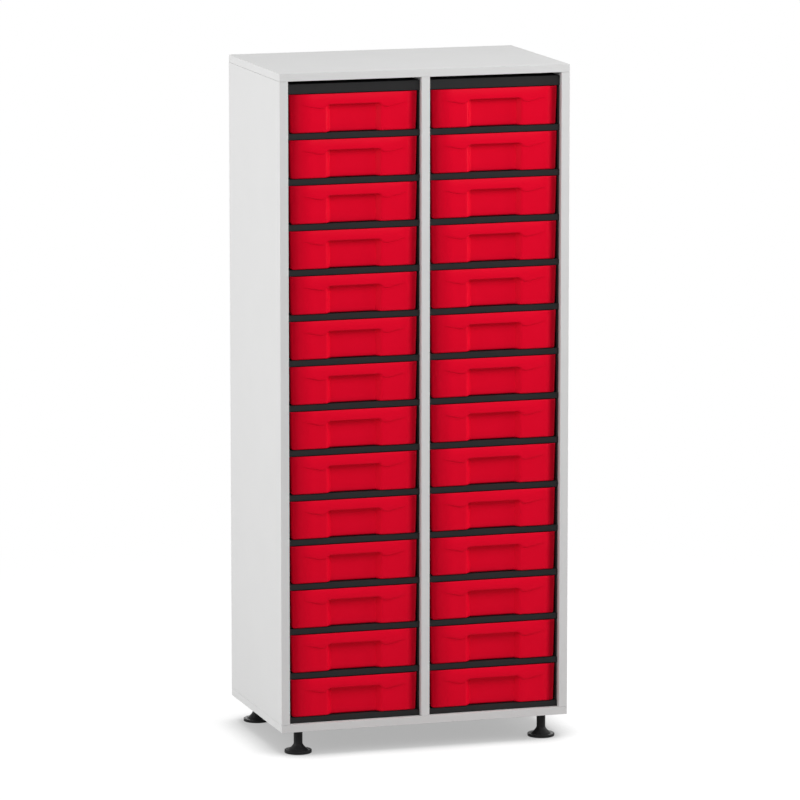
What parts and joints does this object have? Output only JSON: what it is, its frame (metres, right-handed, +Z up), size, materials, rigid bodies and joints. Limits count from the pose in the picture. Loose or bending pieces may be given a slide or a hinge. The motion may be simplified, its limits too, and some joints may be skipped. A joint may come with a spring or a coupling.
{
  "type": "drawer storage rack",
  "caption": "Tall free-standing storage rack: a board carcass with columns of moulded pull-out trays in stacked casings, standing on screw-adjusted feet.",
  "frame": {"origin": "on the floor, under the middle of the rack", "axes": "+Z up, +X to the right seen from the front, and the trays pull out towards -Y"},
  "size_m": [0.7, 0.4328, 1.5975],
  "materials": {
    "grey_board": "light grey melamine-faced board, satin",
    "red_plastic": "signal red moulded plastic, satin",
    "black_plastic": "black moulded plastic, fine matt grain",
    "zinc_plated_steel": "zinc plated"
  },
  "bodies": {
    "rack": {"left_side_panel": "grey_board", "right_side_panel": "grey_board", "centre_divider": "grey_board", "top_panel": "grey_board", "bottom_panel": "grey_board", "back_panel": "grey_board", "casing_left_1": "black_plastic", "casing_left_2": "black_plastic", "casing_left_3": "black_plastic", "casing_left_4": "black_plastic", "casing_left_5": "black_plastic", "casing_left_6": "black_plastic", "casing_right_1": "black_plastic", "casing_right_2": "black_plastic", "casing_right_3": "black_plastic", "casing_right_4": "black_plastic", "casing_right_5": "black_plastic", "casing_right_6": "black_plastic", "top_cover_left": "black_plastic", "top_cover_right": "black_plastic", "foot_insert_front_left": "zinc_plated_steel", "foot_insert_front_right": "zinc_plated_steel", "foot_insert_rear_left": "zinc_plated_steel", "foot_insert_rear_right": "zinc_plated_steel"},
    "tray_left_01": {"tray_left_01": "red_plastic"},
    "tray_left_02": {"tray_left_02": "red_plastic"},
    "tray_left_03": {"tray_left_03": "red_plastic"},
    "tray_left_04": {"tray_left_04": "red_plastic"},
    "tray_left_05": {"tray_left_05": "red_plastic"},
    "tray_left_06": {"tray_left_06": "red_plastic"},
    "tray_left_07": {"tray_left_07": "red_plastic"},
    "tray_left_08": {"tray_left_08": "red_plastic"},
    "tray_left_09": {"tray_left_09": "red_plastic"},
    "tray_left_10": {"tray_left_10": "red_plastic"},
    "tray_left_11": {"tray_left_11": "red_plastic"},
    "tray_left_12": {"tray_left_12": "red_plastic"},
    "tray_left_13": {"tray_left_13": "red_plastic"},
    "tray_left_14": {"tray_left_14": "red_plastic"},
    "tray_right_01": {"tray_right_01": "red_plastic"},
    "tray_right_02": {"tray_right_02": "red_plastic"},
    "tray_right_03": {"tray_right_03": "red_plastic"},
    "tray_right_04": {"tray_right_04": "red_plastic"},
    "tray_right_05": {"tray_right_05": "red_plastic"},
    "tray_right_06": {"tray_right_06": "red_plastic"},
    "tray_right_07": {"tray_right_07": "red_plastic"},
    "tray_right_08": {"tray_right_08": "red_plastic"},
    "tray_right_09": {"tray_right_09": "red_plastic"},
    "tray_right_10": {"tray_right_10": "red_plastic"},
    "tray_right_11": {"tray_right_11": "red_plastic"},
    "tray_right_12": {"tray_right_12": "red_plastic"},
    "tray_right_13": {"tray_right_13": "red_plastic"},
    "tray_right_14": {"tray_right_14": "red_plastic"},
    "foot_front_left": {"foot_front_left": "black_plastic", "foot_stud_front_left": "zinc_plated_steel"},
    "foot_front_right": {"foot_front_right": "black_plastic", "foot_stud_front_right": "zinc_plated_steel"},
    "foot_rear_left": {"foot_rear_left": "black_plastic", "foot_stud_rear_left": "zinc_plated_steel"},
    "foot_rear_right": {"foot_rear_right": "black_plastic", "foot_stud_rear_right": "zinc_plated_steel"}
  },
  "joints": [
    {"name": "tray_left_01_slide", "type": "slide", "parent": "rack", "child": "tray_left_01", "axis": [0, -1, 0], "range_m": [0, 0.3]},
    {"name": "tray_left_02_slide", "type": "slide", "parent": "rack", "child": "tray_left_02", "axis": [0, -1, 0], "range_m": [0, 0.3]},
    {"name": "tray_left_03_slide", "type": "slide", "parent": "rack", "child": "tray_left_03", "axis": [0, -1, 0], "range_m": [0, 0.3]},
    {"name": "tray_left_04_slide", "type": "slide", "parent": "rack", "child": "tray_left_04", "axis": [0, -1, 0], "range_m": [0, 0.3]},
    {"name": "tray_left_05_slide", "type": "slide", "parent": "rack", "child": "tray_left_05", "axis": [0, -1, 0], "range_m": [0, 0.3]},
    {"name": "tray_left_06_slide", "type": "slide", "parent": "rack", "child": "tray_left_06", "axis": [0, -1, 0], "range_m": [0, 0.3]},
    {"name": "tray_left_07_slide", "type": "slide", "parent": "rack", "child": "tray_left_07", "axis": [0, -1, 0], "range_m": [0, 0.3]},
    {"name": "tray_left_08_slide", "type": "slide", "parent": "rack", "child": "tray_left_08", "axis": [0, -1, 0], "range_m": [0, 0.3]},
    {"name": "tray_left_09_slide", "type": "slide", "parent": "rack", "child": "tray_left_09", "axis": [0, -1, 0], "range_m": [0, 0.3]},
    {"name": "tray_left_10_slide", "type": "slide", "parent": "rack", "child": "tray_left_10", "axis": [0, -1, 0], "range_m": [0, 0.3]},
    {"name": "tray_left_11_slide", "type": "slide", "parent": "rack", "child": "tray_left_11", "axis": [0, -1, 0], "range_m": [0, 0.3]},
    {"name": "tray_left_12_slide", "type": "slide", "parent": "rack", "child": "tray_left_12", "axis": [0, -1, 0], "range_m": [0, 0.3]},
    {"name": "tray_left_13_slide", "type": "slide", "parent": "rack", "child": "tray_left_13", "axis": [0, -1, 0], "range_m": [0, 0.3]},
    {"name": "tray_left_14_slide", "type": "slide", "parent": "rack", "child": "tray_left_14", "axis": [0, -1, 0], "range_m": [0, 0.3]},
    {"name": "tray_right_01_slide", "type": "slide", "parent": "rack", "child": "tray_right_01", "axis": [0, -1, 0], "range_m": [0, 0.3]},
    {"name": "tray_right_02_slide", "type": "slide", "parent": "rack", "child": "tray_right_02", "axis": [0, -1, 0], "range_m": [0, 0.3]},
    {"name": "tray_right_03_slide", "type": "slide", "parent": "rack", "child": "tray_right_03", "axis": [0, -1, 0], "range_m": [0, 0.3]},
    {"name": "tray_right_04_slide", "type": "slide", "parent": "rack", "child": "tray_right_04", "axis": [0, -1, 0], "range_m": [0, 0.3]},
    {"name": "tray_right_05_slide", "type": "slide", "parent": "rack", "child": "tray_right_05", "axis": [0, -1, 0], "range_m": [0, 0.3]},
    {"name": "tray_right_06_slide", "type": "slide", "parent": "rack", "child": "tray_right_06", "axis": [0, -1, 0], "range_m": [0, 0.3]},
    {"name": "tray_right_07_slide", "type": "slide", "parent": "rack", "child": "tray_right_07", "axis": [0, -1, 0], "range_m": [0, 0.3]},
    {"name": "tray_right_08_slide", "type": "slide", "parent": "rack", "child": "tray_right_08", "axis": [0, -1, 0], "range_m": [0, 0.3]},
    {"name": "tray_right_09_slide", "type": "slide", "parent": "rack", "child": "tray_right_09", "axis": [0, -1, 0], "range_m": [0, 0.3]},
    {"name": "tray_right_10_slide", "type": "slide", "parent": "rack", "child": "tray_right_10", "axis": [0, -1, 0], "range_m": [0, 0.3]},
    {"name": "tray_right_11_slide", "type": "slide", "parent": "rack", "child": "tray_right_11", "axis": [0, -1, 0], "range_m": [0, 0.3]},
    {"name": "tray_right_12_slide", "type": "slide", "parent": "rack", "child": "tray_right_12", "axis": [0, -1, 0], "range_m": [0, 0.3]},
    {"name": "tray_right_13_slide", "type": "slide", "parent": "rack", "child": "tray_right_13", "axis": [0, -1, 0], "range_m": [0, 0.3]},
    {"name": "tray_right_14_slide", "type": "slide", "parent": "rack", "child": "tray_right_14", "axis": [0, -1, 0], "range_m": [0, 0.3]},
    {"name": "foot_front_left_height", "type": "slide", "parent": "rack", "child": "foot_front_left", "axis": [0, 0, -1], "range_m": [0, 0.01]},
    {"name": "foot_front_right_height", "type": "slide", "parent": "rack", "child": "foot_front_right", "axis": [0, 0, -1], "range_m": [0, 0.01]},
    {"name": "foot_rear_left_height", "type": "slide", "parent": "rack", "child": "foot_rear_left", "axis": [0, 0, -1], "range_m": [0, 0.01]},
    {"name": "foot_rear_right_height", "type": "slide", "parent": "rack", "child": "foot_rear_right", "axis": [0, 0, -1], "range_m": [0, 0.01]}
  ]
}
